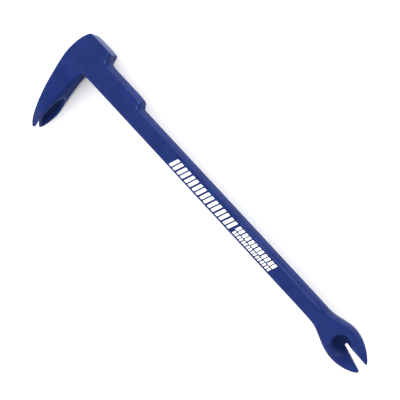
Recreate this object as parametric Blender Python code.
"""Double-ended nail puller: a one-piece steel forging with white ink marks.

The bar lies on its side. X runs along the shank, with the hook claw at -X and
the round claw at +X. Y points to the striking face, so the hook hangs to -Y.
Z is up, out of the front side of the shank.
"""
import math

import bmesh
import bpy
import numpy as np
from mathutils import Matrix, Vector

MM = 0.001

# Driving dimensions, in metres. x is counted from the middle of the bar's length,
# y from the underside of the shank and z from the middle of its thickness.
SHANK_HEIGHT = 13.2 * MM
SHANK_HALF_THICKNESS = 6.8 * MM
NECK_HEIGHT = 18.0 * MM
BLOCK_HEIGHT = 24.9 * MM
HEAD_BACK_X = -145.6 * MM
HOOK_DROP = 54.0 * MM
HOOK_FLARE = 12.0 * MM
ROUND_TIP_X = 159.2 * MM
ROUND_CLAW_LIFT = 15.2 * MM

# Ink marks on the front side
INK_THICKNESS = 0.2 * MM
INK_GAP = 0.3 * MM
INK_SLANT = math.tan(math.radians(18))

CORNER_STEPS = 4      # straight pieces in each rounded corner of a section
RIBS_PER_SPAN = 4     # sections made between two stations


# Stations along the forging, from the hook's tip to the round claw's tip, in mm:
# outer x, outer y, inner x, inner y, half width, outer edge radius,
# inner edge radius, lift towards the front.
T = SHANK_HALF_THICKNESS / MM
H = SHANK_HEIGHT / MM
N = NECK_HEIGHT / MM
B = BLOCK_HEIGHT / MM
X0 = HEAD_BACK_X / MM
X1 = ROUND_TIP_X / MM
D = -HOOK_DROP / MM
W = HOOK_FLARE / MM
L = ROUND_CLAW_LIFT / MM
STATIONS = (
    # hook claw, tip first
    (-126.1, D, -124.9, D + 0.2, 5.8, 0.5, 0.5, 0),
    (-129.1, D + 3.8, -123.7, D + 2.6, 7.9, 1.2, 1.0, 0),
    (-131.6, D + 10.5, -122.8, D + 8.5, 10.6, 2.2, 1.4, 0),
    (-134.2, D + 17.2, -122.7, D + 15.6, W, 2.8, 1.8, 0),
    (-137.6, D + 26.2, -123.5, D + 25.0, 10.8, 3.0, 2.6, 0),
    (-141.1, D + 37.0, -124.3, D + 36.5, 8.7, 2.8, 3.0, 0),
    (-144.3, D + 48.5, -124.8, D + 49.0, T, 2.4, 2.6, 0),
    # head, fanned round the inner corner
    (X0, 5.5, -124.7, -1.6, T, 2.2, 1.6, 0),
    (X0 + 1.0, 14.5, -124.4, -0.8, T, 2.0, 1.4, 0),
    (X0 + 3.4, 20.9, -124.1, -0.4, T, 1.8, 1.4, 0),
    (X0 + 5.2, 23.7, -124.0, -0.3, T, 1.8, 1.4, 0),
    (X0 + 7.2, B, -123.9, -0.2, T, 1.8, 1.4, 0),
    (-118.9, B, -121.2, 0, T, 1.8, 1.4, 0),
    (-117.9, B - 0.9, -119.6, 0, T, 2.0, 1.4, 0),
    (-117.0, B - 3.3, -117.6, 0, T, 2.6, 1.4, 0),
    (-115.4, N + 1.0, -115.4, 0, T, 3.0, 1.4, 0),
    (-112.6, N, -112.6, 0, T, 3.2, 1.4, 0),
    # neck
    (-81.0, N, -81.0, 0, T, 3.2, 1.4, 0),
    (-78.8, N - 0.9, -78.8, 0, T, 3.2, 1.4, 0),
    (-76.9, N - 3.2, -76.9, 0, T, 3.2, 1.4, 0),
    (-75.4, H + 0.5, -75.4, 0, T, 3.0, 1.4, 0),
    (-73.0, H, -73.0, 0, T, 3.0, 1.4, 0),
    # shank
    (-20.0, H, -20.0, 0, T, 3.0, 1.4, 0),
    (50.0, H, 50.0, 0, T, 3.0, 1.4, 0),
    (113.0, H, 113.0, 0, T, 3.0, 1.4, 0),
    # round claw, tip last
    (118.0, H + 0.2, 118.0, -0.7, 6.5, 3.2, 1.8, 0.05 * L),
    (122.5, H + 1.2, 122.5, -2.3, 6.2, 3.2, 2.2, 0.14 * L),
    (129.0, 16.9, 129.0, -4.8, 5.7, 3.4, 2.8, 0.28 * L),
    (137.5, 18.8, 137.5, -6.5, 4.8, 3.4, 3.0, 0.47 * L),
    (145.5, 17.9, 145.5, -5.9, 3.6, 2.8, 2.6, 0.66 * L),
    (152.0, 15.1, 152.0, -3.4, 2.4, 1.9, 1.9, 0.82 * L),
    (X1 - 2.2, 11.5, X1 - 1.8, 0.0, 1.2, 0.9, 0.9, 0.94 * L),
    (X1 - 0.7, 9.3, X1, 2.0, 0.7, 0.4, 0.4, L),
)

# Notches and pockets, in metres
ROUND_NOTCH_ROOT = (141.4 * MM, 6.9 * MM)
ROUND_NOTCH_RADIUS = 1.5 * MM
ROUND_NOTCH_HALF_ANGLE = math.radians(6.8)
ROUND_NOTCH_TURN = math.radians(-2.5)
ROUND_CUP_RADII = (7.6 * MM, 7.4 * MM, 4.6 * MM)
ROUND_CUP_CENTRE = (138.2 * MM, 6.4 * MM, 13.8 * MM)
HOOK_NOTCH_ROOT = (-121.5 * MM, -38.5 * MM)
HOOK_NOTCH_RADIUS = 0.8 * MM
HOOK_NOTCH_HALF_ANGLE = math.radians(15)
HOOK_NOTCH_TILT = math.radians(-20)
HOOK_CUP_RADII = (7.0 * MM, 16.0 * MM, 10.0 * MM)
HOOK_CUP_CENTRE = (-121.0 * MM, -41.0 * MM, 0.0)


def wipe_scene():
    for old in list(bpy.data.objects):
        bpy.data.objects.remove(old, do_unlink=True)


def make_material(name, colour, roughness, metallic):
    material = bpy.data.materials.new(name)
    material.use_nodes = True
    shader = material.node_tree.nodes["Principled BSDF"]
    shader.inputs["Base Color"].default_value = (*colour, 1.0)
    shader.inputs["Roughness"].default_value = roughness
    shader.inputs["Metallic"].default_value = metallic
    return material


def monotone_slopes(places, values):
    """Slopes of a cubic that never overshoots between its points."""
    steps = np.diff(values) / np.diff(places)
    slopes = np.zeros(len(values))
    slopes[0] = steps[0]
    slopes[-1] = steps[-1]
    for i in range(1, len(values) - 1):
        if steps[i - 1] * steps[i] > 0:
            slopes[i] = 2 / (1 / steps[i - 1] + 1 / steps[i])
    return slopes


def smooth_column(places, values, wanted):
    """Read a smooth curve through (places, values) at the wanted places."""
    slopes = monotone_slopes(places, values)
    i = np.clip(np.searchsorted(places, wanted) - 1, 0, len(places) - 2)
    span = places[i + 1] - places[i]
    t = (wanted - places[i]) / span
    start = (1 + 2 * t) * (1 - t) ** 2 * values[i] + t * (1 - t) ** 2 * span * slopes[i]
    end = t * t * (3 - 2 * t) * values[i + 1] - t * t * (1 - t) * span * slopes[i + 1]
    return start + end


def ribs():
    """Finely spaced sections between the stations, in metres."""
    table = np.array(STATIONS, dtype=float) * MM
    middles = (table[:, 0:2] + table[:, 2:4]) / 2
    hops = np.linalg.norm(np.diff(middles, axis=0), axis=1)
    places = np.concatenate(([0.0], np.cumsum(hops)))
    wanted = []
    for start, end in zip(places, places[1:]):
        wanted.extend(np.linspace(start, end, RIBS_PER_SPAN, endpoint=False))
    wanted.append(places[-1])
    wanted = np.array(wanted)
    columns = [smooth_column(places, table[:, c], wanted) for c in range(table.shape[1])]
    return np.stack(columns, axis=1)


def rib_outline(rib):
    """Corner points of one section: a rectangle with rounded corners."""
    outer = Vector((rib[0], rib[1], 0))
    inner = Vector((rib[2], rib[3], 0))
    half_width, outer_radius, inner_radius, lift = rib[4:8]
    across = (outer - inner).normalized()
    length = (outer - inner).length
    corners = (
        (length, half_width, outer_radius, 0),
        (0, half_width, inner_radius, 90),
        (0, -half_width, inner_radius, 180),
        (length, -half_width, outer_radius, 270),
    )
    points = []
    for u, z, radius, start in corners:
        radius = min(radius, 0.49 * length, 0.98 * half_width)
        centre_u = u - radius if u > 0 else u + radius
        centre_z = z - radius if z > 0 else z + radius
        for step in range(CORNER_STEPS + 1):
            angle = math.radians(start + 90 * step / CORNER_STEPS)
            along = centre_u + radius * math.cos(angle)
            height = centre_z + radius * math.sin(angle)
            points.append(inner + across * along + Vector((0, 0, height + lift)))
    return points


def loft(sections):
    """Skin a row of closed sections and cap both ends."""
    mesh_maker = bmesh.new()
    loops = []
    for points in sections:
        verts = [mesh_maker.verts.new(p) for p in points]
        edges = [mesh_maker.edges.new((a, b)) for a, b in zip(verts, verts[1:] + verts[:1])]
        loops.append(edges)
    for one, two in zip(loops, loops[1:]):
        bmesh.ops.bridge_loops(mesh_maker, edges=one + two)
    bmesh.ops.edgeloop_fill(mesh_maker, edges=loops[0])
    bmesh.ops.edgeloop_fill(mesh_maker, edges=loops[-1])
    bmesh.ops.recalc_face_normals(mesh_maker, faces=mesh_maker.faces[:])
    return mesh_maker


def add_object(name, mesh_maker, material):
    mesh = bpy.data.meshes.new(name)
    mesh_maker.to_mesh(mesh)
    mesh_maker.free()
    if material:
        mesh.materials.append(material)
    thing = bpy.data.objects.new(name, mesh)
    bpy.context.collection.objects.link(thing)
    return thing


def wedge_with_round_root(radius, half_angle, reach, depth):
    """A V-shaped prism: its round root is on the Z axis and it opens to +X."""
    mesh_maker = bmesh.new()
    points = []
    for step in range(9):
        swing = math.pi / 2 + half_angle
        angle = swing + (2 * math.pi - 2 * swing) * step / 8
        points.append(Vector((radius * math.cos(angle), radius * math.sin(angle), -depth / 2)))
    spread = radius / math.cos(half_angle) + reach * math.tan(half_angle)
    points.append(Vector((reach, -spread, -depth / 2)))
    points.append(Vector((reach, spread, -depth / 2)))
    face = mesh_maker.faces.new([mesh_maker.verts.new(p) for p in points])
    sides = bmesh.ops.extrude_face_region(mesh_maker, geom=[face])
    tops = [v for v in sides["geom"] if isinstance(v, bmesh.types.BMVert)]
    bmesh.ops.translate(mesh_maker, verts=tops, vec=(0, 0, depth))
    bmesh.ops.recalc_face_normals(mesh_maker, faces=mesh_maker.faces[:])
    return mesh_maker


def egg(radii, centre):
    """An ellipsoid for a pocket."""
    mesh_maker = bmesh.new()
    bmesh.ops.create_uvsphere(mesh_maker, u_segments=24, v_segments=14, radius=1.0)
    bmesh.ops.scale(mesh_maker, verts=mesh_maker.verts[:], vec=radii)
    bmesh.ops.translate(mesh_maker, verts=mesh_maker.verts[:], vec=centre)
    return mesh_maker


def cut(target, cutter):
    cutter.hide_render = True
    cutter.display_type = "WIRE"
    boolean = target.modifiers.new("cut_" + cutter.name, "BOOLEAN")
    boolean.operation = "DIFFERENCE"
    boolean.solver = "EXACT"
    boolean.object = cutter


def make_forging(material):
    sections = [rib_outline(rib) for rib in ribs()]
    bar = add_object("forged_bar", loft(sections), material)
    bar.data.shade_smooth()
    bar.data.set_sharp_from_angle(angle=math.radians(40))
    return bar


def cut_round_claw(bar):
    notch = wedge_with_round_root(ROUND_NOTCH_RADIUS, ROUND_NOTCH_HALF_ANGLE, 30 * MM, 60 * MM)
    place = Matrix.Translation((*ROUND_NOTCH_ROOT, 10 * MM)) @ Matrix.Rotation(ROUND_NOTCH_TURN, 4, "Z")
    bmesh.ops.transform(notch, matrix=place, verts=notch.verts[:])
    cut(bar, add_object("round_claw_notch", notch, None))
    cut(bar, add_object("round_claw_cup", egg(ROUND_CUP_RADII, ROUND_CUP_CENTRE), None))


def cut_hook_claw(bar):
    notch = wedge_with_round_root(HOOK_NOTCH_RADIUS, HOOK_NOTCH_HALF_ANGLE, 30 * MM, 60 * MM)
    # the wedge opens downwards and its root line slopes down towards the back of the hook
    turn = Matrix.Rotation(math.radians(-90), 4, "Z") @ Matrix.Rotation(math.radians(90), 4, "X")
    tilt = Matrix.Rotation(-HOOK_NOTCH_TILT, 4, "Z")
    place = Matrix.Translation((*HOOK_NOTCH_ROOT, 0)) @ tilt @ turn
    bmesh.ops.transform(notch, matrix=place, verts=notch.verts[:])
    cut(bar, add_object("hook_notch", notch, None))
    cut(bar, add_object("hook_pocket", egg(HOOK_CUP_RADII, HOOK_CUP_CENTRE), None))


def make_ink_block(name, left, low, width, height, material):
    """One slanted island of ink, lying on the front side of the shank."""
    mesh_maker = bmesh.new()
    bmesh.ops.create_cube(mesh_maker, size=1.0)
    bmesh.ops.scale(mesh_maker, verts=mesh_maker.verts[:], vec=(width, height, INK_THICKNESS))
    for vert in mesh_maker.verts:
        vert.co.x += vert.co.y * INK_SLANT
    floor = SHANK_HALF_THICKNESS + INK_GAP + INK_THICKNESS / 2
    centre = (left + width / 2, low + height / 2, floor)
    bmesh.ops.translate(mesh_maker, verts=mesh_maker.verts[:], vec=centre)
    return add_object(name, mesh_maker, material)


def make_ink_row(name, count, left, right, low, height, gap, material):
    width = (right - left - (count - 1) * gap) / count
    blocks = []
    for i in range(count):
        start = left + i * (width + gap)
        blocks.append(make_ink_block(f"{name}_{i + 1:02d}", start, low, width, height, material))
    return blocks


def make_ink(material):
    rows = (
        ("ink_block", 8, -31.4, 30.6, 1.6, 7.2, 1.7),
        ("ink_dash_upper", 6, 33.4, 70.9, 4.9, 3.9, 1.2),
        ("ink_dash_lower", 8, 33.4, 69.6, 1.6, 2.5, 1.0),
    )
    blocks = []
    for name, count, *sizes in rows:
        left, right, low, height, gap = (size * MM for size in sizes)
        blocks += make_ink_row(name, count, left, right, low, height, gap, material)
    return blocks


def set_on_floor(things):
    """Move everything so that the bar's box stands centred on the origin."""
    bpy.context.view_layer.update()
    bar = bpy.data.objects["forged_bar"].evaluated_get(bpy.context.evaluated_depsgraph_get())
    corners = np.array([corner[:] for corner in bar.bound_box])
    low = corners.min(axis=0)
    high = corners.max(axis=0)
    shift = Vector((-(low[0] + high[0]) / 2, -(low[1] + high[1]) / 2, -low[2]))
    for thing in things:
        thing.location = shift


def main():
    wipe_scene()
    blue = make_material("blue_paint", (0.026, 0.046, 0.200), 0.42, 0.0)
    white = make_material("white_ink", (0.85, 0.85, 0.86), 0.55, 0.0)
    bar = make_forging(blue)
    cut_round_claw(bar)
    cut_hook_claw(bar)
    make_ink(white)
    set_on_floor(list(bpy.data.objects))


main()
